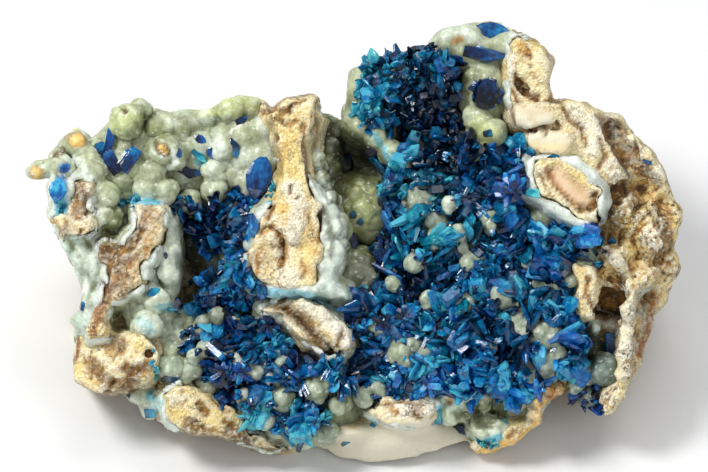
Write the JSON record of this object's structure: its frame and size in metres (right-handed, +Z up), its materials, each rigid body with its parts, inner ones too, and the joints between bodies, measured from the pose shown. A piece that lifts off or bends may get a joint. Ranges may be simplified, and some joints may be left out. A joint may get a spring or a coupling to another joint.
{
  "type": "mineral specimen, veszelyite on hemimorphite",
  "caption": "Rough mineral specimen: blue bladed veszelyite on pale green botryoidal hemimorphite over cream and brown rock, resting on its flat underside.",
  "frame": {"origin": "on the resting flat, below the middle of the whole specimen", "axes": "+Z up from the resting flat, +X to the right along the longest side, and the crystal face looks towards -Y and up"},
  "size_m": [0.0298, 0.019, 0.0148],
  "materials": {
    "rock": "matte",
    "hemimorphite": "satin",
    "veszelyite": "gloss"
  },
  "bodies": {
    "root": {"matrix_rock": "rock", "hemimorphite_left_crust": "hemimorphite", "hemimorphite_cavity_lining": "hemimorphite", "hemimorphite_upper_slab": "hemimorphite", "hemimorphite_lower_edge": "hemimorphite", "hemimorphite_right_hollow": "hemimorphite", "hemimorphite_field_crust": "hemimorphite", "veszelyite_main_field": "veszelyite", "veszelyite_upper_druse": "veszelyite", "veszelyite_lower_left_druse": "veszelyite", "veszelyite_hollow_druse": "veszelyite", "veszelyite_lens_crystal": "veszelyite", "veszelyite_bar_crystal": "veszelyite", "veszelyite_tip_crystal": "veszelyite", "veszelyite_disc_crystal": "veszelyite", "veszelyite_far_left_crystal": "veszelyite", "veszelyite_prism_crystal": "veszelyite", "veszelyite_cavity_crystal_upper": "veszelyite", "veszelyite_cavity_crystal_lower": "veszelyite", "veszelyite_teal_eye_crystal": "veszelyite", "veszelyite_right_hollow_crystal": "veszelyite"}
  },
  "joints": []
}
